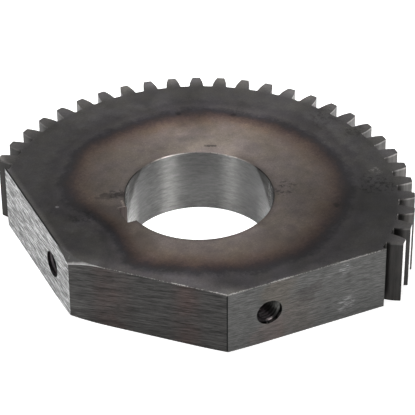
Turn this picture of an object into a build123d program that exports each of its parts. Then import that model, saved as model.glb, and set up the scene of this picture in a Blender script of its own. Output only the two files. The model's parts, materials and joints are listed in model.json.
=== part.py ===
from build123d import *
import math
import os

# Sector gear: a spur gear blank cut off by three flats, so that about half of its toothed rim is left.
# Millimetres. The bore axis is Z, the lower face lies on Z = 0, and the keyway opens towards -X.

# Teeth, numbered round the full circle that the blank was cut from
module_size = 3.0
full_circle_teeth = 51
kept_teeth = 27
pressure_angle = 14.5
addendum = module_size
dedendum = 1.07 * module_size
root_round = 0.6
tip_round = 0.25

# Blank and flats
face_width = 26.0
middle_flat_distance = 53.2
flat_step_angle = 45.0
flat_to_last_tooth = 0.1

# Bore and keyway
bore_diameter = 55.0
bore_chamfer = 0.3
keyway_width = 9.5
keyway_depth = 3.3

# Set-screw holes through the outer flats, at their thread's full diameter
screw_diameter = 10.0

# Crescents dressed off the corners between neighbouring flats: how far back a face is cut, and how far down
corner_cut_back = 2.9
first_corner_upper_drop = 2.0
first_corner_lower_drop = 1.0
far_corner_lower_drop = 0.4

# Directions that the parts of the outline face
keyway_angle = 180.0
middle_flat_angle = keyway_angle + flat_step_angle
far_flat_angle = middle_flat_angle + flat_step_angle
middle_tooth_angle = middle_flat_angle - 180.0

# Gear values that follow from the sizes above
pitch_radius = module_size * full_circle_teeth / 2
tip_radius = pitch_radius + addendum
root_radius = pitch_radius - dedendum
base_radius = pitch_radius * math.cos(math.radians(pressure_angle))
pitch_angle = 360 / full_circle_teeth
beyond_tip = tip_radius + module_size


def involute_turn(radius):
    """Degrees that an involute turns through between its base circle and a radius."""
    slope = math.acos(min(base_radius / radius, 1))
    return math.degrees(math.tan(slope) - slope)


def half_tooth(radius):
    """Half the angle that a tooth fills at a radius, in degrees."""
    return pitch_angle / 4 + involute_turn(pitch_radius) - involute_turn(radius)


def polar(radius, angle):
    """Point at a radius and an angle in degrees from +X."""
    return (radius * math.cos(math.radians(angle)), radius * math.sin(math.radians(angle)))


# The outer flats pass just outside the last tooth's tip corner
last_corner_angle = middle_tooth_angle + pitch_angle * (kept_teeth - 1) / 2 + half_tooth(tip_radius)
outer_flat_distance = tip_radius * math.cos(math.radians(keyway_angle - last_corner_angle)) + flat_to_last_tooth
flats = (
    (keyway_angle, outer_flat_distance),
    (middle_flat_angle, middle_flat_distance),
    (far_flat_angle, outer_flat_distance),
)

# One tooth gap on +X: involute flanks, straight towards the root inside the base circle
flank_start = max(base_radius, root_radius)
flank_radii = [flank_start + (beyond_tip - flank_start) * step / 5 for step in range(6)]
flank = [polar(radius, pitch_angle / 2 - half_tooth(radius)) for radius in flank_radii]
root_corner = polar(root_radius, pitch_angle / 2 - half_tooth(flank_start))
with BuildSketch() as tooth_gap:
    with BuildLine():
        Spline(flank)
        if base_radius > root_radius:
            Line(root_corner, flank[0])
        mirror(about=Plane.XZ)
        RadiusArc((root_corner[0], -root_corner[1]), root_corner, -root_radius)
        Line((flank[-1][0], -flank[-1][1]), flank[-1])
    make_face()
    fillet(tooth_gap.vertices().group_by(Axis.X)[0], radius=root_round)

with BuildPart() as sector_gear:
    # Toothed outline, cut off by the flats
    with BuildSketch() as outline:
        Circle(tip_radius)
        first_gap_angle = middle_tooth_angle - pitch_angle * kept_teeth / 2
        gap_count = kept_teeth + 1
        with PolarLocations(0, gap_count, first_gap_angle, pitch_angle * kept_teeth, endpoint=True):
            add(tooth_gap.sketch, mode=Mode.SUBTRACT)
        for angle, distance in flats:
            with Locations(Location((*polar(distance, angle), 0), (0, 0, angle))):
                Rectangle(tip_radius, 2 * beyond_tip, align=(Align.MIN, Align.CENTER), mode=Mode.SUBTRACT)
        tip_corners = [v for v in outline.vertices() if Vector(v.X, v.Y).length > tip_radius - 0.01]
        fillet(tip_corners, radius=tip_round)
    extrude(amount=face_width)

    # Crescents at the corners: part of a cone that meets both flats without a step.
    # The far corner's upper edge is left sharp.
    half_corner = flat_step_angle / 2
    cone_middle = corner_cut_back / (1 - math.cos(math.radians(half_corner)))
    cone_start = cone_middle - corner_cut_back
    cone_end = cone_middle + corner_cut_back
    crescents = (
        (flats[0], flats[1], face_width, first_corner_upper_drop),
        (flats[0], flats[1], 0, -first_corner_lower_drop),
        (flats[1], flats[2], 0, -far_corner_lower_drop),
    )
    for (angle_one, distance_one), (angle_two, distance_two), face_height, drop in crescents:
        step = math.radians(angle_two - angle_one)
        along_flat = (distance_two - distance_one * math.cos(step)) / math.sin(step)
        corner = Vector(distance_one, along_flat).rotate(Axis.Z, angle_one)
        centre = corner - Vector(*polar(cone_middle, angle_one + half_corner))
        upright = Plane(origin=centre, x_dir=(*polar(1, angle_one), 0), z_dir=(*polar(1, angle_one - 90), 0))
        with BuildSketch(upright):
            with BuildLine():
                Polyline(
                    (cone_start, face_height),
                    (cone_end, face_height),
                    (cone_end, face_height - 2 * drop),
                    close=True,
                )
            make_face()
        revolve(axis=Axis(centre, (0, 0, 1)), revolution_arc=flat_step_angle, mode=Mode.SUBTRACT)

    # Bore and keyway
    with BuildSketch() as bore_outline:
        Circle(bore_diameter / 2)
    extrude(amount=face_width, mode=Mode.SUBTRACT)
    rims = sector_gear.edges().filter_by(GeomType.CIRCLE).filter_by(
        lambda e: abs(e.radius - bore_diameter / 2) < 0.01 and e.arc_center.Z in (0, face_width)
    )
    chamfer(rims, length=bore_chamfer)
    with BuildSketch() as keyway:
        with Locations(Location((0, 0, 0), (0, 0, keyway_angle))):
            Rectangle(
                bore_diameter / 2 + keyway_depth, keyway_width, align=(Align.MIN, Align.CENTER)
            )
    extrude(amount=face_width, mode=Mode.SUBTRACT)

    # Set-screw holes, from each outer flat into the bore
    for angle in (keyway_angle, far_flat_angle):
        mouth = Plane(origin=(*polar(outer_flat_distance, angle), face_width / 2), z_dir=(*polar(1, angle), 0))
        with BuildSketch(mouth):
            Circle(screw_diameter / 2)
        extrude(amount=-outer_flat_distance, mode=Mode.SUBTRACT)

sector_gear.part.label = "sector_gear"
os.makedirs("parts", exist_ok=True)
export_step(sector_gear.part, "parts/sector_gear.step")
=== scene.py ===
import bmesh
import bpy
import json
import math
from mathutils import Matrix, Vector

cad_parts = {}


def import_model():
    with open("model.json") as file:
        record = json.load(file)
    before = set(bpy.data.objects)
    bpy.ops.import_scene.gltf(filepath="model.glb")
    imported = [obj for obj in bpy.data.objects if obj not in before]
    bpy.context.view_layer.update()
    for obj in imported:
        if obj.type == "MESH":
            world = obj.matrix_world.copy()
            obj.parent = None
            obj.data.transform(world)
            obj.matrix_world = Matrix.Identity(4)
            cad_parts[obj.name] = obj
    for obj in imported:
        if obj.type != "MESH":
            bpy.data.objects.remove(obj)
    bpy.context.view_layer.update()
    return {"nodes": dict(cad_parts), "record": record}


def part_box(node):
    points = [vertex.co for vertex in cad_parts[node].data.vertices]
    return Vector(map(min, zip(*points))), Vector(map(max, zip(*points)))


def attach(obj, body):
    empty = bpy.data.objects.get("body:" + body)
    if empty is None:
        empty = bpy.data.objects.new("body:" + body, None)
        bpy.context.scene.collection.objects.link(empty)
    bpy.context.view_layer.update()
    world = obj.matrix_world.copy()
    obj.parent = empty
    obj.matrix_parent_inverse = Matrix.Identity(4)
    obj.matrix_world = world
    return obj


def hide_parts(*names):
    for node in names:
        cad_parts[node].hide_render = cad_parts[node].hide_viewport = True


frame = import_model()

# Sizes read from the frame, in metres
MM = 0.001
mounts = {mount["name"]: mount for mount in frame["record"]["mounts"]}
BORE_RADIUS = mounts["bore"]["dims"]["r_mm"] * MM
SCREW_RADIUS = mounts["keyway_screw_hole"]["dims"]["r_mm"] * MM
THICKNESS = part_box("sector_gear")[1].z
OUTER_FLAT = -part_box("sector_gear")[0].x
TIP_RADIUS = max(vertex.co.xy.length for vertex in frame["nodes"]["sector_gear"].data.vertices)

# Outward directions of the three flats, in degrees from +X. The outer two have a set-screw hole.
FLAT_ANGLES = {"first": 180, "middle": 225, "far": 270}
SCREW_ANGLES = {name: FLAT_ANGLES[name] for name in ("first", "far")}

# Camera, from the photograph: 415 pixels across, focal length in pixels, places in metres
IMAGE_PIXELS = 415
FOCAL_PIXELS = 2323.2
SENSOR_MM = 36
CAMERA_AZIMUTH = 245.35
CAMERA_ELEVATION = 36.02
CAMERA_ROLL = -0.45
CAMERA_DISTANCE = 0.8507
CAMERA_TARGET = Vector((-0.00073, -0.00871, THICKNESS))


def direction(azimuth, elevation=0):
    """Unit vector at an azimuth from +X and an elevation above the floor, in degrees."""
    a, e = math.radians(azimuth), math.radians(elevation)
    return Vector((math.cos(a) * math.cos(e), math.sin(a) * math.cos(e), math.sin(e)))


def flat_distance(name):
    """Distance of a flat's plane from the bore axis."""
    outward = direction(FLAT_ANGLES[name])
    return max(vertex.co.dot(outward) for vertex in frame["nodes"]["sector_gear"].data.vertices)


# Flats' distances, and how far the corners lie from the middle of the middle flat
FLAT_DISTANCES = {name: flat_distance(name) for name in FLAT_ANGLES}
CORNER_TURN = math.radians(FLAT_ANGLES["middle"] - FLAT_ANGLES["first"])
CORNER_ALONG = (OUTER_FLAT - FLAT_DISTANCES["middle"] * math.cos(CORNER_TURN)) / math.sin(CORNER_TURN)

# The same in millimetres, which the materials work in
THICKNESS_MM = THICKNESS / MM
OUTER_FLAT_MM = OUTER_FLAT / MM
CORNER_ALONG_MM = CORNER_ALONG / MM
BORE_RADIUS_MM = BORE_RADIUS / MM
TIP_RADIUS_MM = TIP_RADIUS / MM


class Nodes:
    """Short calls that add nodes to one tree and link them."""

    def __init__(self, tree):
        self.tree = tree

    def add(self, kind, inputs=None, **settings):
        """New node, with values or links for its inputs."""
        node = self.tree.nodes.new(kind)
        for key, value in settings.items():
            setattr(node, key, value)
        for key, value in (inputs or {}).items():
            self.feed(node.inputs[key], value)
        return node

    def feed(self, socket, value):
        """Link or value for one input."""
        if isinstance(value, bpy.types.NodeSocket):
            self.tree.links.new(value, socket)
        else:
            socket.default_value = value

    def math(self, operation, *values):
        """Result of an operation on numbers."""
        inputs = dict(enumerate(values))
        return self.add("ShaderNodeMath", inputs, operation=operation).outputs[0]

    def vector(self, operation, first, second=None, scale=None):
        """Result of an operation on vectors."""
        inputs = {0: first}
        if second is not None:
            inputs[1] = second
        if scale is not None:
            inputs["Scale"] = scale
        node = self.add("ShaderNodeVectorMath", inputs, operation=operation)
        return node.outputs["Value" if operation in ("DISTANCE", "DOT_PRODUCT") else "Vector"]

    def combine(self, x, y, z):
        """Vector from three numbers."""
        return self.add("ShaderNodeCombineXYZ", {0: x, 1: y, 2: z}).outputs[0]

    def fit(self, value, low, high, new_low=0.0, new_high=1.0, smooth=False):
        """Value mapped from one range to another and kept inside it."""
        inputs = {"Value": value, "From Min": low, "From Max": high, "To Min": new_low, "To Max": new_high}
        kind = "SMOOTHSTEP" if smooth else "LINEAR"
        return self.add("ShaderNodeMapRange", inputs, interpolation_type=kind).outputs[0]

    def swing(self, noise, low, high, spread=0.2):
        """Noise mapped to a range, low where it is a spread under 0.5 and high where it is one above."""
        return self.fit(noise, 0.5 - spread, 0.5 + spread, low, high)

    def noise(self, where, scale, detail=3.0, roughness=0.55):
        """Noise around 0.5, with its scale in features per unit of the place."""
        inputs = {"Vector": where, "Scale": scale, "Detail": detail, "Roughness": roughness}
        return self.add("ShaderNodeTexNoise", inputs).outputs["Fac"]

    def ramp(self, value, *stops):
        """Colour by value, from (position, colour) stops between 0 and 1."""
        node = self.add("ShaderNodeValToRGB", {"Fac": value})
        elements = node.color_ramp.elements
        while len(elements) < len(stops):
            elements.new(0.5)
        for element, (position, colour) in zip(elements, stops):
            element.position = position
            element.color = (*colour, 1)
        return node.outputs["Color"]

    def mix(self, factor, first, second, blend="MIX"):
        """First colour where the factor is 0, and the second one where it is 1."""
        node = self.add("ShaderNodeMix", data_type="RGBA", blend_type=blend)
        self.feed(node.inputs[0], factor)
        for socket, value in ((node.inputs[6], first), (node.inputs[7], second)):
            self.feed(socket, value if isinstance(value, bpy.types.NodeSocket) else (*value, 1))
        return node.outputs[2]

    def tint(self, colour, other):
        """Colour multiplied by another one."""
        return self.mix(1.0, colour, other, blend="MULTIPLY")

    def shade(self, colour, factor):
        """Colour multiplied by a grey factor."""
        return self.tint(colour, self.combine(factor, factor, factor))

    def vary(self, colour, noise, low, high, spread=0.2):
        """Colour multiplied by a grey factor that swings with the noise."""
        return self.shade(colour, self.swing(noise, low, high, spread))

    def seen_directly(self):
        """1 for camera, glossy and transmission rays, 0 for the rays that light the object."""
        path = self.add("ShaderNodeLightPath").outputs
        mirrored = self.math("MAXIMUM", path["Is Glossy Ray"], path["Is Transmission Ray"])
        return self.math("MAXIMUM", path["Is Camera Ray"], mirrored)


class Shader(Nodes):
    """One material with a Principled surface. Places and distances in it are in millimetres."""

    def __init__(self, name, metallic=1.0, roughness=0.4, anisotropic=0.0):
        self.material = bpy.data.materials.new(name)
        self.material.use_nodes = True
        super().__init__(self.material.node_tree)
        self.surface = self.tree.nodes["Principled BSDF"]
        self.set("Metallic", metallic)
        self.set("Roughness", roughness)
        if anisotropic:
            self.set("Anisotropic", anisotropic)
            self.set("Anisotropic Rotation", 0.25)
            self.set("Tangent", self.add("ShaderNodeTangent", direction_type="RADIAL", axis="Z").outputs[0])
        metres = self.add("ShaderNodeTexCoord").outputs["Object"]
        self.place = self.vector("SCALE", metres, scale=1 / MM)
        self.x, self.y, self.z = self.add("ShaderNodeSeparateXYZ", {"Vector": self.place}).outputs
        self.below_top = self.math("SUBTRACT", THICKNESS_MM, self.z)

    def set(self, name, value):
        """Link or value for one input of the surface."""
        self.feed(self.surface.inputs[name], value)

    def bump(self, height, depth):
        """Relief in the shading alone."""
        inputs = {"Height": height, "Distance": depth * MM, "Strength": 1.0}
        self.set("Normal", self.add("ShaderNodeBump", inputs).outputs[0])

    def streaks(self, along, across, per_along, per_across, seed, detail):
        """Noise around 0.5 drawn out along one direction, with both scales in features per millimetre."""
        where = self.combine(
            self.math("MULTIPLY", along, per_along), self.math("MULTIPLY", across, per_across), 3.1 * seed
        )
        return self.noise(where, 1.0, detail=detail, roughness=0.7)

    def upright_streaks(self, per_across, per_height, detail, roughness=0.55):
        """Noise around 0.5 drawn out through the thickness, with both scales in features per millimetre."""
        where = self.vector("MULTIPLY", self.place, (per_across, per_across, per_height))
        return self.noise(where, 1.0, detail=detail, roughness=roughness)

    def facing(self, azimuth):
        """Cosine of the angle between a place's azimuth about the bore axis and another azimuth."""
        outward = self.vector("NORMALIZE", self.combine(self.x, self.y, 0.0))
        return self.vector("DOT_PRODUCT", outward, direction(azimuth))

    def from_upright(self, x, y):
        """Distance from an upright line."""
        return self.vector("DISTANCE", self.combine(self.x, self.y, 0.0), (x, y, 0.0))

    def inset(self, name):
        """Distance inwards from a flat's plane."""
        outward = self.vector("DOT_PRODUCT", self.place, direction(FLAT_ANGLES[name]))
        return self.math("SUBTRACT", FLAT_DISTANCES[name] / MM, outward)

    def along_flat(self, name):
        """Distance along a flat from its middle, counted anticlockwise."""
        return self.vector("DOT_PRODUCT", self.place, direction(FLAT_ANGLES[name] + 90))

    def beside(self, name, middle):
        """Distance along a flat from one place on it, to either side."""
        return self.math("ABSOLUTE", self.math("SUBTRACT", self.along_flat(name), middle))

    def blot(self, distance, reach, grain, raggedness):
        """Ragged mark, 1 within about a third of its reach and 0 beyond it."""
        grains = self.noise(self.place, grain / reach, detail=4)
        ragged = self.swing(grains, -raggedness * reach, raggedness * reach)
        return self.fit(self.math("ADD", distance, ragged), reach, 0.35 * reach, smooth=True)

    def patch(self, centre, reach):
        """Ragged patch round a point, 1 in its middle and 0 beyond its reach."""
        return self.blot(self.vector("DISTANCE", self.place, centre), reach, grain=1.2, raggedness=0.3)

    def smear(self, start, end, reach):
        """Ragged streak between two points, 1 along its middle and 0 beyond its reach."""
        run = Vector(end) - Vector(start)
        from_start = self.vector("SUBTRACT", self.place, start)
        share = self.fit(self.vector("DOT_PRODUCT", from_start, run), 0, run.length_squared)
        nearest = self.vector("SCALE", run, scale=share)
        return self.blot(self.vector("DISTANCE", from_start, nearest), reach, grain=0.8, raggedness=0.4)


# Colours of lines at the edges: a bright one, worn burr steel and partly a painted highlight, and a dark one
BURR_HIGHLIGHT_STEEL = (0.26, 0.25, 0.24)
DARK_LINE = (0.010, 0.010, 0.010)

# Sides of the gear, as azimuths about the bore axis in degrees: where the faces and the bore's rims have
# a painted highlight, where the tooth flanks have a painted reflection, and where the tooth tips have their
# brightest painted glint
HIGHLIGHT_SIDE = 68
FLANK_REFLECTION_SIDE = 10
TIP_GLINT_SIDE = -10

# Burred stretches of two flats' upper edges, where the bright line and its painted highlight are wider:
# middle and half length along the flat, and added width. The bright line at these edges is narrower on the
# flat than on the face.
BURRS_AND_HIGHLIGHTS = {"middle": ((-24, 6), (12, 4), (28, 5)), "far": ((-13, 4), (5, 6), (33, 12))}
BURR_WIDTH = 0.32
FLAT_NARROWING = 1.5


def edge_wear_and_highlight(s, colour, name, from_edge):
    """Colour with a broken bright line where the distance from a flat's edge is small: worn burr steel,
    partly a painted highlight.
    """
    chatter = s.noise(s.place, 1.9, detail=4, roughness=0.8)
    reach = s.swing(chatter, -0.3, 0.5, spread=0.12)
    for middle, half in BURRS_AND_HIGHLIGHTS[name]:
        burr = s.fit(s.beside(name, middle), half, 0.4 * half, 0.0, BURR_WIDTH)
        reach = s.math("ADD", reach, burr)
    worn = s.fit(s.math("SUBTRACT", reach, from_edge), -0.1, 0.5)
    return s.mix(worn, colour, BURR_HIGHLIGHT_STEEL)


# Heat tint on the faces: colours by distance from the centre of its rings
TINT_CENTRE = (3.6, 1.7)
TINT_STOPS = (
    (28, (0.112, 0.096, 0.085)),
    (33, (0.097, 0.084, 0.075)),
    (41, (0.092, 0.076, 0.065)),
    (45, (0.074, 0.055, 0.044)),
    (48, (0.045, 0.031, 0.026)),
    (50.5, (0.022, 0.017, 0.017)),
    (52.5, (0.017, 0.016, 0.018)),
    (55.5, (0.0365, 0.0345, 0.035)),
    (58.5, (0.0285, 0.027, 0.0275)),
    (62.5, (0.040, 0.039, 0.038)),
    (78, (0.038, 0.037, 0.036)),
)
# Places where the rings are dented inwards, or outwards if the depth is negative: place, reach, depth
TINT_DENTS = (
    ((-47.0, -5.0), 26.0, 13.0),
    ((-15.0, -42.0), 22.0, 3.0),
    ((-26.0, 40.0), 28.0, -2.5),
)


def tint_rings(s, mottle):
    """Heat tint's colour, in rings that waver and are dented."""
    from_centre = s.from_upright(*TINT_CENTRE)
    broad = s.noise(s.place, 0.05, detail=4)
    ragged = s.noise(s.place, 0.8, detail=4, roughness=0.7)
    for wave, height in ((broad, 1.6), (mottle, 1.1), (ragged, 1.1)):
        from_centre = s.math("ADD", from_centre, s.swing(wave, -height, height))
    for place, reach, depth in TINT_DENTS:
        dent = s.fit(s.from_upright(*place), reach, 0.0, 0.0, depth, smooth=True)
        from_centre = s.math("ADD", from_centre, dent)
    start, end = TINT_STOPS[0][0], TINT_STOPS[-1][0]
    stops = [((distance - start) / (end - start), colour) for distance, colour in TINT_STOPS]
    return s.ramp(s.fit(from_centre, start, end), *stops)


# Marks on the upper face: place, reach, and how much darker or lighter they are. Tones are broad patches,
# some real and some painted highlight and painted shade of the face's sheen; spots are small ones, and scuffs
# are broken up.
TONES_AND_SHEEN = (
    ((-OUTER_FLAT_MM, -CORNER_ALONG_MM), 8.0, 2.4),
    ((-23.4, -44.6), 11.0, 1.6),
    ((-23.4, -45.1), 9.0, 0.92),
    ((53.0, 1.7), 7.0, 0.92),
    ((-40.4, 1.7), 7.0, 1.15),
    ((-36.0, 0.0), 16.0, 0.68),
    ((-45.5, 0.0), 7.5, 1.6),
    ((-32.0, -19.0), 10.0, 0.7),
    ((12.0, -40.0), 18.0, 0.66),
    ((36.0, -22.0), 16.0, 0.82),
    ((54.0, -31.0), 17.0, 0.66),
    ((14.0, 62.0), 20.0, 0.8),
    ((27.0, 59.0), 19.0, 0.76),
    ((63.0, 10.0), 13.0, 1.35),
    ((65.0, 22.0), 11.0, 1.2),
    ((48.0, 52.0), 14.0, 0.82),
    ((8.0, 71.0), 11.0, 0.74),
    ((-19.0, 68.0), 12.0, 1.25),
    ((42.0, 12.0), 16.0, 1.18),
    ((68.0, -8.0), 13.0, 1.25),
    ((-4.0, 42.0), 18.0, 1.25),
    ((16.0, 40.0), 11.0, 0.78),
    ((-31.0, 22.0), 9.0, 0.82),
)
SPOTS = (
    ((14.9, 52.1), 1.6, 0.45),
    ((33.9, 42.3), 1.6, 0.45),
    ((42.8, -27.7), 1.8, 0.4),
    ((-50.4, 15.2), 0.8, 4.0),
    ((15.4, 27.7), 0.9, 0.4),
    ((16.5, 27.2), 0.9, 0.3),
    ((17.6, 26.7), 0.9, 0.3),
    ((18.7, 26.2), 0.9, 0.4),
)
SCUFFS = (
    ((-27.6, 13.2), 4.0, 0.5),
    ((62.0, -22.8), 9.0, 0.3),
    ((66.0, -15.0), 3.5, 2.2),
    ((66.0, 26.0), 10.0, 0.6),
    ((71.0, 12.0), 6.0, 0.6),
    ((29.0, -10.8), 5.0, 0.5),
    ((32.5, -8.0), 4.0, 0.6),
    ((-44.0, 6.0), 6.0, 0.55),
)
# Smears beside the keyway, and the bright burr on its edge: start, end, reach, darker or lighter
SMEARS = (
    ((-32.0, 14.6), (-24.8, 11.4), 1.9, 0.5),
    ((-35.4, 14.3), (-30.4, 12.0), 1.0, 0.65),
    ((-30.4, 5.1), (-27.8, 5.0), 0.5, 2.2),
    ((-28.1, 5.3), (-27.5, 8.6), 0.65, 2.0),
)


def upper_face_marks(s, colour):
    """Colour with the upper face's tones, partly painted sheen, spots, smears and scuffs."""
    # Broad tones, partly painted highlight and shade of the sheen, and small spots
    for place, reach, factor in TONES_AND_SHEEN + SPOTS:
        tone = s.patch((*place, THICKNESS_MM), reach)
        colour = s.shade(colour, s.fit(tone, 0, 1, 1.0, factor))
    for start, end, reach, factor in SMEARS:
        smear = s.smear((*start, THICKNESS_MM), (*end, THICKNESS_MM), reach)
        colour = s.shade(colour, s.fit(smear, 0, 1, 1.0, factor))
    broken = s.fit(s.noise(s.place, 0.75, detail=5, roughness=0.7), 0.5, 0.58)
    for place, reach, factor in SCUFFS:
        scuff = s.math("MULTIPLY", s.patch((*place, THICKNESS_MM), reach), broken)
        colour = s.shade(colour, s.fit(scuff, 0, 0.7, 1.0, factor))
    return colour


# Lighter strips of the faces behind the flats: how far in they end and are full, and how much lighter
FLAT_STRIPS = {"middle": (7.5, 1.5, 1.75), "far": (5.0, 0.5, 1.25), "first": (3.2, 0.9, 1.9)}

# Distances from the bore axis: where the tooth tops start to get lighter and are lightest, and where the
# grime beside the bore's rim starts to fade and ends
TOOTH_TOPS = (TIP_RADIUS_MM - 7.0, TIP_RADIUS_MM - 1.5)
RIM_GRIME = (BORE_RADIUS_MM + 0.4, BORE_RADIUS_MM + 2.1)

# Painted shade line at the first flat's upper edge, for its burr's shadow: how far in it ends and is full
FIRST_EDGE_SHADE = (0.8, 0.5)


def turned_face():
    """Turned upper and lower faces, with the heat tint's rings round the bore."""
    s = Shader("turned_face", metallic=0.9, anisotropic=0.82)
    mottle = s.noise(s.place, 0.22, detail=6, roughness=0.65)
    fine = s.noise(s.place, 1.8, detail=3, roughness=0.6)
    specks = s.noise(s.place, 2.4, detail=1)
    hue = s.noise(s.place, 0.12, detail=3)
    colour = tint_rings(s, mottle)
    # Painted highlight and shade of the turned face's sheen: lighter towards one side, darker across from it
    colour = s.shade(colour, s.fit(s.facing(HIGHLIGHT_SIDE), -1, 1, 0.72, 1.15))
    colour = s.vary(colour, mottle, 0.74, 1.22)
    colour = s.vary(colour, fine, 0.84, 1.14)
    colour = s.shade(colour, s.fit(specks, 0.64, 0.72, 1.0, 1.35))
    warm, cool = s.tint(colour, (1.03, 1.0, 0.96)), s.tint(colour, (1.01, 0.98, 1.03))
    colour = s.mix(s.swing(hue, 0.0, 1.0, spread=0.1), warm, cool)

    # Rubbed tooth tops, and grime beside the bore's rim but for the side with the painted highlight
    radius = s.from_upright(0.0, 0.0)
    colour = s.shade(colour, s.fit(radius, *TOOTH_TOPS, 1.0, 2.15))
    highlight_side_mask = s.fit(s.facing(HIGHLIGHT_SIDE), 0.55, 0.85)
    colour = s.shade(colour, s.math("MAXIMUM", s.fit(radius, *RIM_GRIME, 0.72, 1.0), highlight_side_mask))

    for name, (far, near, factor) in FLAT_STRIPS.items():
        colour = s.shade(colour, s.fit(s.inset(name), far, near, 1.0, factor, smooth=True))
    colour = upper_face_marks(s, colour)

    # Edges: broken bright lines at two flats, worn burrs partly painted as highlight, and a line of painted
    # shade at the first
    for name in ("middle", "far"):
        colour = edge_wear_and_highlight(s, colour, name, s.inset(name))
    # Painted shade: dark line along the first flat's upper edge
    colour = s.mix(s.fit(s.inset("first"), *FIRST_EDGE_SHADE), colour, DARK_LINE)
    s.set("Base Color", colour)
    s.set("Roughness", s.swing(mottle, 0.46, 0.54))
    turning = s.noise(s.combine(s.from_upright(*TINT_CENTRE), 0.0, 0.0), 2.2, detail=2)
    s.bump(s.math("ADD", s.math("MULTIPLY", fine, 0.5), turning), 0.012)
    return s.material


# The three flats are one sawn steel; the greys they are given differ as painted light and shade
def sawn_flat(name, colour, slope, contrast, pitch, length, patchy=0.4):
    """Shader and colour of a sawn and dressed flat: streaks along it, at a small slope."""
    angle = FLAT_ANGLES[name]
    s = Shader("sawn_flat_" + name, roughness=0.45)
    along = s.along_flat(name)
    across = s.math("ADD", s.z, s.math("MULTIPLY", along, slope))
    streaks = s.streaks(along, across, 1 / length, 1 / pitch, angle, detail=5)
    hairs = s.streaks(along, across, 2 / length, 2.5 / pitch, angle + 7, detail=3)
    broad = s.streaks(along, across, 0.25 / length, 0.35 / pitch, angle + 14, detail=3)
    base = s.vary(colour, streaks, 1 - contrast, 1 + contrast, spread=0.1)
    base = s.vary(base, hairs, 1 - contrast, 1 + contrast, spread=0.12)
    base = s.vary(base, broad, 1 - patchy * contrast, 1 + patchy * contrast, spread=0.16)
    s.set("Roughness", s.swing(streaks, 0.55, 0.42))
    s.bump(streaks, 0.04)
    return s, along, base


def first_flat():
    """The brightest flat, with the densest streaks; its grey is painted lighter than the other flats', as lit
    from the left.
    """
    # Painted light: grey lighter than the other flats', as lit from the left
    bright = (0.215, 0.216, 0.216)
    s, along, base = sawn_flat("first", bright, slope=-0.03, contrast=0.45, pitch=0.5, length=9.0, patchy=0.1)
    dashes = s.streaks(along, s.z, per_along=0.19, per_across=2.5, seed=13, detail=1)
    base = s.vary(base, dashes, 0.3, 1.75, spread=0.08)
    specks = s.streaks(along, s.z, per_along=0.5, per_across=1.0, seed=5, detail=2)
    base = s.shade(base, s.fit(specks, 0.58, 0.7, 1.0, 0.45))
    s.set("Base Color", base)
    return s.material


# Reddish bands from top to bottom of the middle flat: middle along it and reach
RED_BANDS = ((-14.0, 10.0), (15.0, 8.0))
RED_TINT = (1.24, 0.98, 0.95)

# Places along the middle flat where it starts to get lighter and is lightest, and where the dark line at
# its far corner starts and is full
LIGHTER_END = (-18.0, -28.0)
CORNER_LINE = (CORNER_ALONG_MM - 0.7, CORNER_ALONG_MM - 0.3)


def middle_flat():
    """Dark flat with two reddish bands, lighter at its near end, and a dark line at its far corner; its dark
    grey is painted shade against the other flats.
    """
    # Painted shade: grey darker than the other flats'
    dark = (0.042, 0.041, 0.040)
    s, along, base = sawn_flat("middle", dark, slope=-0.1, contrast=0.31, pitch=0.55, length=8.0)
    cloud = s.fit(s.noise(s.place, 0.12, detail=4), 0.35, 0.6, 0.3, 1.0)
    for middle, reach in RED_BANDS:
        band = s.fit(s.beside("middle", middle), reach, 0.0, 0.0, 1.0, smooth=True)
        base = s.mix(s.math("MULTIPLY", band, cloud), base, s.tint(base, RED_TINT))
    base = s.shade(base, s.fit(along, *LIGHTER_END, 1.0, 1.3))
    base = s.mix(s.fit(along, *CORNER_LINE), base, DARK_LINE)
    # Bright burr line at the upper edge, partly a painted highlight
    base = edge_wear_and_highlight(s, base, "middle", s.math("MULTIPLY", s.below_top, FLAT_NARROWING))
    s.set("Base Color", base)
    return s.material


# Marks on the far flat, by place along +X and height: brown, pink and dark tints, and scratched places
FAR_TINTS = (
    ((3.5, 21.0), 10.0, (1.08, 1.0, 0.92)),
    ((1.0, 3.0), 10.0, (1.15, 1.0, 0.98)),
    ((12.0, 8.0), 12.0, (1.06, 0.99, 0.95)),
    ((14.8, 16.2), 5.0, (0.78, 0.76, 0.76)),
    ((19.0, 18.5), 3.5, (0.85, 0.82, 0.82)),
)
FAR_SCRATCHES = (((31.1, 6.6), 4.5), ((29.8, 22.9), 3.0))
SCRATCH_GREY = (0.2, 0.2, 0.2)


def on_far_flat(x, z):
    """Point on the far flat, in millimetres."""
    return (x, -OUTER_FLAT_MM, z)


def far_flat():
    """Grey flat with a brown tint over the hole, a pink one under it, blotches and short scratches."""
    # Grey between the other flats', its difference from them painted light and shade
    grey = (0.082, 0.082, 0.080)
    s, along, base = sawn_flat("far", grey, slope=0.045, contrast=0.22, pitch=0.5, length=5.0)
    for place, reach, tint in FAR_TINTS:
        base = s.mix(s.patch(on_far_flat(*place), reach), base, s.tint(base, tint))
    fine = s.streaks(along, s.z, per_along=0.3, per_across=1.8, seed=11, detail=3)
    fine = s.fit(fine, 0.48, 0.62)
    for place, reach in FAR_SCRATCHES:
        scratches = s.math("MULTIPLY", s.patch(on_far_flat(*place), reach), fine)
        base = s.mix(scratches, base, SCRATCH_GREY)
    # Bright burr line at the upper edge, partly a painted highlight
    base = edge_wear_and_highlight(s, base, "far", s.math("MULTIPLY", s.below_top, FLAT_NARROWING))
    s.set("Base Color", base)
    return s.material


# Painted glints at the ends of the bore wall's lower part: azimuth, cosine of the angle to either side where
# they end, heights where they are faintest and brightest, how strong the faintest is, and how much lighter
BORE_END_GLINTS = (
    (142, 0.93, 20.0, 6.0, 0.25, 5.0),
    (1, 0.97, 17.0, 11.0, 0.0, 2.6),
)
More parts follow.
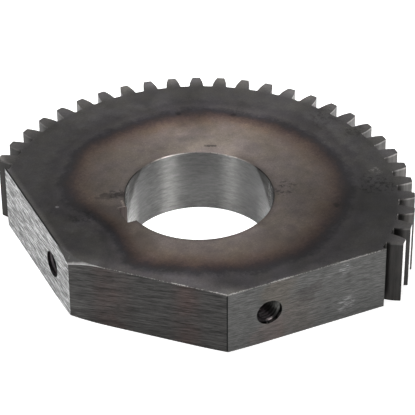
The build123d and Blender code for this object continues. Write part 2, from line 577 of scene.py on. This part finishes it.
# Azimuth of the bore wall's brighter half, with painted shade away from it, and of a painted darker strip
# beside its right end
BORE_BRIGHTER_SIDE = 85
BORE_DARKER_STRIP = 20


def ground_bore():
    """Ground bore wall: bright steel with fine marks round it, painted shade away from its brighter half and
    painted glints low at its ends.
    """
    s = Shader("ground_bore", roughness=0.6, anisotropic=1.0)
    round_it = s.math("MULTIPLY", s.math("ARCTAN2", s.y, s.x), BORE_RADIUS_MM)
    marks = s.streaks(round_it, s.z, per_along=0.5, per_across=2.6, seed=0, detail=4)
    dashes = s.streaks(round_it, s.z, per_along=0.3, per_across=1.0, seed=3, detail=5)
    rings = s.streaks(round_it, s.z, per_along=0.02, per_across=1.1, seed=7, detail=3)
    colour = s.mix(s.swing(rings, 0.0, 1.0), (0.082, 0.081, 0.078), (0.114, 0.112, 0.107))
    colour = s.vary(colour, marks, 0.8, 1.2)
    colour = s.vary(colour, dashes, 0.7, 1.3, spread=0.15)
    # Painted shade: darker away from the brighter half
    colour = s.shade(colour, s.fit(s.facing(BORE_BRIGHTER_SIDE), 0.3, 0.75, 0.5, 1.0))
    # Painted glints low at the wall's ends
    for azimuth, side, faint_height, bright_height, faintest, factor in BORE_END_GLINTS:
        across = s.fit(s.facing(azimuth), side, 1.0, smooth=True)
        upwards = s.fit(s.z, faint_height, bright_height, faintest, 1.0)
        colour = s.shade(colour, s.fit(s.math("MULTIPLY", across, upwards), 0, 1, 1.0, factor))
    # Painted shade: darker strip beside the right end
    colour = s.shade(colour, s.fit(s.facing(BORE_DARKER_STRIP), 0.95, 1.0, 1.0, 0.8, smooth=True))
    s.set("Base Color", colour)
    s.set("Roughness", s.swing(marks, 0.57, 0.63))
    s.set("Coat Weight", 1.0)
    s.set("Coat Roughness", 0.1)
    s.bump(s.math("ADD", marks, dashes), 0.035)
    return s.material


def bore_rim():
    """Broken rims of the bore: a painted highlight on the side of the face's painted highlight, painted shade
    on the rest.
    """
    s = Shader("bore_rim", roughness=0.4)
    patches = s.fit(s.noise(s.place, 0.7, detail=4), 0.35, 0.5, 0.4, 1.0)
    # Painted highlight on the rim's far side, broken up, and painted shade on the rest of the rim
    bare = s.math("MULTIPLY", s.fit(s.facing(HIGHLIGHT_SIDE), 0.55, 0.85), patches)
    s.set("Base Color", s.mix(bare, (0.015, 0.014, 0.013), (0.16, 0.145, 0.138)))
    return s.material


def hobbed_teeth():
    """Cut tooth flanks: grey-brown, streaked along the teeth, with a painted reflection on one side of the
    gear and a painted highlight along their top edges.
    """
    s = Shader("hobbed_teeth", roughness=0.42)
    streaks = s.upright_streaks(1.1, 0.06, detail=5, roughness=0.65)
    blotch = s.noise(s.place, 0.12, detail=4)
    colour = s.mix(s.swing(blotch, 0.0, 1.0, spread=0.15), (0.028, 0.0275, 0.027), (0.035, 0.033, 0.0315))
    # Painted reflection: flanks much lighter towards one side of the gear
    colour = s.shade(colour, s.fit(s.facing(FLANK_REFLECTION_SIDE), 0.55, 0.9, 1.0, 3.6, smooth=True))
    # Painted highlight along the teeth's top edges
    colour = s.shade(colour, s.fit(s.below_top, 0.9, 0.4, 1.0, 2.2))
    s.set("Base Color", s.vary(colour, streaks, 0.72, 1.25))
    s.set("Roughness", s.swing(streaks, 0.48, 0.36))
    s.bump(streaks, 0.02)
    return s.material


def tip_land():
    """Tooth tips of bright steel, with a painted glint that is brightest on one side of the gear."""
    s = Shader("tip_land", roughness=0.18)
    colour = s.mix(s.swing(s.noise(s.place, 0.5, detail=3), 0.0, 1.0), (0.62, 0.61, 0.6), (0.8, 0.79, 0.78))
    # Painted glint: tips lighter towards one side of the gear, darker on the others
    bright = s.fit(s.facing(TIP_GLINT_SIDE), -0.2, 0.85, 0.12, 1.0, smooth=True)
    s.set("Base Color", s.shade(colour, bright))
    return s.material


def broached_keyway():
    """Keyway walls: brown tinted, streaked the way the broach went."""
    s = Shader("broached_keyway", roughness=0.45)
    streaks = s.upright_streaks(1.6, 0.05, detail=4)
    colour = s.mix(s.swing(streaks, 0.0, 1.0, spread=0.15), (0.09, 0.072, 0.07), (0.2, 0.165, 0.155))
    s.set("Base Color", colour)
    s.bump(streaks, 0.02)
    return s.material


def worn_corner():
    """Crescents dressed off the corners: bare at the flats' edge, dull towards the face."""
    s = Shader("worn_corner", roughness=0.45)
    patches = s.noise(s.place, 0.5, detail=5, roughness=0.7)
    bare = s.math("ADD", s.fit(s.inset("middle"), 1.2, 0.1), s.swing(patches, -0.35, 0.2))
    s.set("Base Color", s.mix(s.fit(bare, 0, 1), (0.06, 0.059, 0.058), (0.28, 0.275, 0.27)))
    s.bump(patches, 0.05)
    return s.material


# A painted glint and a bright chip on the far hole's mouth, by place along +X and height, and reach
MOUTH_GLINT_AND_CHIP = (((1.2, 8.3), 2.4), ((4.3, 10.0), 1.6))
GLINT_AND_CHIP_STEEL = (0.42, 0.38, 0.38)


def tapped_hole():
    """Oily thread in the set-screw holes, painted lighter on the +X side as if lit there, and painted shade
    deeper in the first hole than at its mouth.
    """
    s = Shader("tapped_hole", roughness=0.4)
    grime = s.noise(s.place, 0.5, detail=4)
    shade = s.swing(grime, 0.0, 1.0)
    dark = s.mix(shade, (0.012, 0.0105, 0.011), (0.032, 0.028, 0.03))
    # Painted shade: the first hole darker deeper in, lighter towards its mouth
    dark = s.shade(dark, s.fit(s.inset("first"), 14.0, 1.0, 1.0, 2.8))
    light = s.mix(shade, (0.03, 0.031, 0.029), (0.10, 0.10, 0.095))
    # Painted light: the thread lighter on the +X side
    colour = s.mix(s.fit(s.x, 2.0, 4.6), dark, light)
    # Painted glint and a bright chip at the far hole's mouth
    for place, reach in MOUTH_GLINT_AND_CHIP:
        colour = s.mix(s.patch(on_far_flat(*place), reach), colour, GLINT_AND_CHIP_STEEL)
    s.set("Base Color", colour)
    s.bump(grime, 0.02)
    return s.material


MATERIALS = {
    "turned_face": turned_face(),
    "first": first_flat(),
    "middle": middle_flat(),
    "far": far_flat(),
    "bore": ground_bore(),
    "rim": bore_rim(),
    "keyway": broached_keyway(),
    "teeth": hobbed_teeth(),
    "tip": tip_land(),
    "corner": worn_corner(),
    "hole": tapped_hole(),
}
MATERIAL_INDEX = {name: index for index, name in enumerate(MATERIALS)}

# How a face is told from its neighbours: by distances, and by the cosine between the way it looks and
# a direction
TEETH_START = 0.9 * TIP_RADIUS
TIP_DEPTH = 0.3 * MM
RIM_WIDTH = 1 * MM
KEYWAY_REACH = 8 * MM
WALL_SLACK = 0.2 * MM
HOLE_SLACK = 0.01 * MM
STRAIGHT = 0.999
ALMOST = 0.9
ALMOST_TIP = 0.97
HARDLY = 0.1

# Cleaning and shading of the meshes
MERGE_DISTANCE = 0.001 * MM
LEVEL_ANGLE = 0.0005
SHARP_ANGLE = math.radians(30)


def region(face):
    """Name of the material for a face of the gear, from where it lies and which way it looks."""
    centre, normal = face.calc_center_median(), face.normal
    outward = Vector((centre.x, centre.y, 0)).normalized()
    radius = centre.xy.length
    if abs(normal.z) > STRAIGHT:
        return "turned_face"
    if radius > TEETH_START:
        tip = normal.dot(outward) > ALMOST_TIP and radius > TIP_RADIUS - TIP_DEPTH
        return "tip" if tip else "teeth"
    if abs(normal.z) > HARDLY and abs(centre.z - THICKNESS / 2) > SCREW_RADIUS:
        return "rim" if radius < BORE_RADIUS + RIM_WIDTH else "corner"
    for name, angle in FLAT_ANGLES.items():
        if normal.dot(direction(angle)) > STRAIGHT and radius > BORE_RADIUS + KEYWAY_REACH:
            return name
    for angle in SCREW_ANGLES.values():
        along = direction(angle)
        axis_point = along * centre.dot(along) + Vector((0, 0, THICKNESS / 2))
        inside = (centre - axis_point).length < SCREW_RADIUS + HOLE_SLACK
        if inside and abs(normal.dot(along)) < HARDLY:
            return "hole"
    if abs(radius - BORE_RADIUS) < WALL_SLACK and normal.dot(outward) < -ALMOST:
        return "bore"
    if radius < BORE_RADIUS + KEYWAY_REACH:
        return "keyway"
    return "teeth"


def finished_piece(name, shape, materials):
    """Object from a bmesh, shaded smooth between its sharp edges."""
    for face in shape.faces:
        face.smooth = True
    for edge in shape.edges:
        edge.smooth = edge.calc_face_angle(0) < SHARP_ANGLE
    mesh = bpy.data.meshes.new(name)
    shape.to_mesh(mesh)
    shape.free()
    for material in materials:
        mesh.materials.append(material)
    piece = bpy.data.objects.new(name, mesh)
    bpy.context.scene.collection.objects.link(piece)
    return piece


def gear_body():
    """The solid's own mesh, with doubled points merged and each surface given its material."""
    shape = bmesh.new()
    shape.from_mesh(frame["nodes"]["sector_gear"].data)
    bmesh.ops.remove_doubles(shape, verts=shape.verts, dist=MERGE_DISTANCE)
    bmesh.ops.dissolve_limit(shape, angle_limit=LEVEL_ANGLE, verts=shape.verts, edges=shape.edges)
    shape.normal_update()
    for face in shape.faces:
        face.material_index = MATERIAL_INDEX[region(face)]
    return finished_piece("gear_body", shape, MATERIALS.values())


# M10 thread: its ridge's sizes, how far it keeps from the hole's mouth and the bore wall, and its steps
THREAD_PITCH = 1.5 * MM
THREAD_DEPTH = 0.7 * MM
THREAD_SINK = 0.05 * MM
THREAD_HALF_ROOT = 0.68 * MM
THREAD_HALF_CREST = 0.1 * MM
THREAD_MOUTH_GAP = 0.3 * MM
THREAD_BORE_GAP = 3.5 * MM
STEPS_PER_TURN = 36
STEPS_TO_FULL_DEPTH = 12
LEAST_DEPTH_SHARE = 0.05


def thread(name, angle):
    """Helical ridge of an M10 thread inside one set-screw hole, from its mouth inwards."""
    root = SCREW_RADIUS + THREAD_SINK
    full_depth = THREAD_DEPTH + THREAD_SINK
    start = OUTER_FLAT - THREAD_MOUTH_GAP
    run = start - (BORE_RADIUS + THREAD_BORE_GAP) - THREAD_PITCH
    steps = int(run / THREAD_PITCH * STEPS_PER_TURN)
    along, side = direction(angle), direction(angle + 90)
    shape = bmesh.new()
    rings = []
    for step in range(steps + 1):
        turn = 2 * math.pi * step / STEPS_PER_TURN
        from_axis = start - THREAD_PITCH / 2 - step * THREAD_PITCH / STEPS_PER_TURN
        out = side * math.cos(turn) + Vector((0, 0, math.sin(turn)))
        growth = min(1, step / STEPS_TO_FULL_DEPTH, (steps - step) / STEPS_TO_FULL_DEPTH)
        crest = root - full_depth * max(growth, LEAST_DEPTH_SHARE)
        middle = Vector((0, 0, THICKNESS / 2)) + along * from_axis
        profile = (
            (root, THREAD_HALF_ROOT), (crest, THREAD_HALF_CREST),
            (crest, -THREAD_HALF_CREST), (root, -THREAD_HALF_ROOT),
        )
        rings.append([shape.verts.new(middle + out * radius + along * offset) for radius, offset in profile])
    for one, two in zip(rings, rings[1:]):
        for k in range(4):
            shape.faces.new((one[k], one[(k + 1) % 4], two[(k + 1) % 4], two[k]))
    shape.faces.new(rings[0])
    shape.faces.new(rings[-1])
    bmesh.ops.recalc_face_normals(shape, faces=shape.faces)
    return finished_piece(name, shape, [MATERIALS["hole"]])


def camera():
    """Camera at the photograph's viewing angle."""
    data = bpy.data.cameras.new("camera")
    data.sensor_width = SENSOR_MM
    data.lens = FOCAL_PIXELS / IMAGE_PIXELS * SENSOR_MM
    data.clip_end = 50
    back = direction(CAMERA_AZIMUTH, CAMERA_ELEVATION)
    right = Vector((0, 0, 1)).cross(back).normalized()
    up = back.cross(right)
    roll = math.radians(CAMERA_ROLL)
    rolled_right = right * math.cos(roll) + up * math.sin(roll)
    rolled_up = up * math.cos(roll) - right * math.sin(roll)
    view = bpy.data.objects.new("camera", data)
    turn = Matrix((rolled_right, rolled_up, back)).transposed()
    view.matrix_world = Matrix.Translation(CAMERA_TARGET + back * CAMERA_DISTANCE) @ turn.to_4x4()
    bpy.context.scene.collection.objects.link(view)
    bpy.context.scene.camera = view


def place_lamp(data, target, azimuth, elevation, distance):
    """Lamp that looks at a target from one side and height."""
    lamp = bpy.data.objects.new(data.name, data)
    lamp.location = target + direction(azimuth, elevation) * distance
    lamp.rotation_euler = (-direction(azimuth, elevation)).to_track_quat("-Z", "Y").to_euler()
    bpy.context.scene.collection.objects.link(lamp)


def softbox(name, azimuth, elevation, distance, width, height, watts):
    """Area lamp that looks at the gear's middle."""
    data = bpy.data.lights.new(name, "AREA")
    data.shape = "RECTANGLE"
    data.size, data.size_y = width, height
    data.energy = watts
    place_lamp(data, Vector((0, 0, 0)), azimuth, elevation, distance)


SNOOT_ANGLE = math.radians(4.4)
SNOOT_BLEND = 0.6
SNOOT_RADIUS = 0.055
SNOOT_DISTANCE = 0.6


def snoot(name, azimuth, elevation, wall_azimuth, watts):
    """Narrow soft lamp aimed at one place on the bore wall, at half its height."""
    data = bpy.data.lights.new(name, "SPOT")
    data.spot_size = SNOOT_ANGLE
    data.spot_blend = SNOOT_BLEND
    data.shadow_soft_size = SNOOT_RADIUS
    data.energy = watts
    target = direction(wall_azimuth) * BORE_RADIUS + Vector((0, 0, THICKNESS / 2))
    place_lamp(data, target, azimuth, elevation, SNOOT_DISTANCE)


# Floor: half its size, how far it lies under the gear, and how much it glows where it is seen
FLOOR_HALF = 3.0
FLOOR_GAP = 0.02 * MM
FLOOR_GLOW = 0.75


def floor():
    """Plain pale floor that keeps the gear's shadow and looks white."""
    mesh = bpy.data.meshes.new("floor")
    corners = [(FLOOR_HALF * x, FLOOR_HALF * y, 0) for x, y in ((-1, -1), (1, -1), (1, 1), (-1, 1))]
    mesh.from_pydata(corners, [], [(0, 1, 2, 3)])
    plane = bpy.data.objects.new("floor", mesh)
    plane.location.z = -FLOOR_GAP
    bpy.context.scene.collection.objects.link(plane)
    s = Shader("floor", metallic=0.0, roughness=1.0)
    s.set("Base Color", (0.8, 0.8, 0.8, 1))
    s.set("Specular IOR Level", 0.0)
    s.set("Emission Color", (1, 1, 1, 1))
    s.set("Emission Strength", s.math("MULTIPLY", s.seen_directly(), FLOOR_GLOW))
    mesh.materials.append(s.material)


# The studio's light: the backdrop's direction, the cosines of the angle from it where the studio is
# darkest and white, its darkest level, and the level of the rays that light the object without being seen
BACKDROP = direction(CAMERA_AZIMUTH - 180, 25)
BACKDROP_FADE = (-0.6, 0.35)
DARKEST_LEVEL = 0.25
LIGHT_LEVEL = 0.6


def world():
    """Grey studio that is white towards the backdrop, and white all round for the camera."""
    studio = bpy.data.worlds.new("studio")
    bpy.context.scene.world = studio
    studio.use_nodes = True
    nodes = Nodes(studio.node_tree)
    heading = nodes.add("ShaderNodeTexCoord").outputs["Generated"]
    towards = nodes.vector("DOT_PRODUCT", heading, BACKDROP)
    room = nodes.fit(towards, *BACKDROP_FADE, DARKEST_LEVEL, 1.0, smooth=True)
    level = nodes.fit(nodes.seen_directly(), 0, 1, LIGHT_LEVEL, room)
    camera_ray = nodes.add("ShaderNodeLightPath").outputs["Is Camera Ray"]
    background = nodes.tree.nodes["Background"]
    nodes.feed(background.inputs["Color"], (1, 1, 1, 1))
    nodes.feed(background.inputs["Strength"], nodes.math("MAXIMUM", level, camera_ray))


bpy.context.scene.view_settings.view_transform = "Standard"
camera()
body = gear_body()
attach(body, "root")
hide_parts("sector_gear")
for name, angle in SCREW_ANGLES.items():
    ridge = thread("thread_" + name, angle)
    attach(ridge, "root")
floor()
world()
softbox("left", azimuth=178, elevation=35, distance=1.2, width=0.5, height=0.5, watts=1.5)
softbox("right_front", azimuth=292, elevation=40, distance=1.2, width=0.4, height=0.5, watts=1.2)
softbox("overhead", azimuth=76, elevation=75, distance=1.0, width=0.6, height=0.4, watts=5.5)
snoot("bore_right", azimuth=294, elevation=38, wall_azimuth=90, watts=100)
snoot("bore_left", azimuth=193, elevation=38, wall_azimuth=42, watts=56)
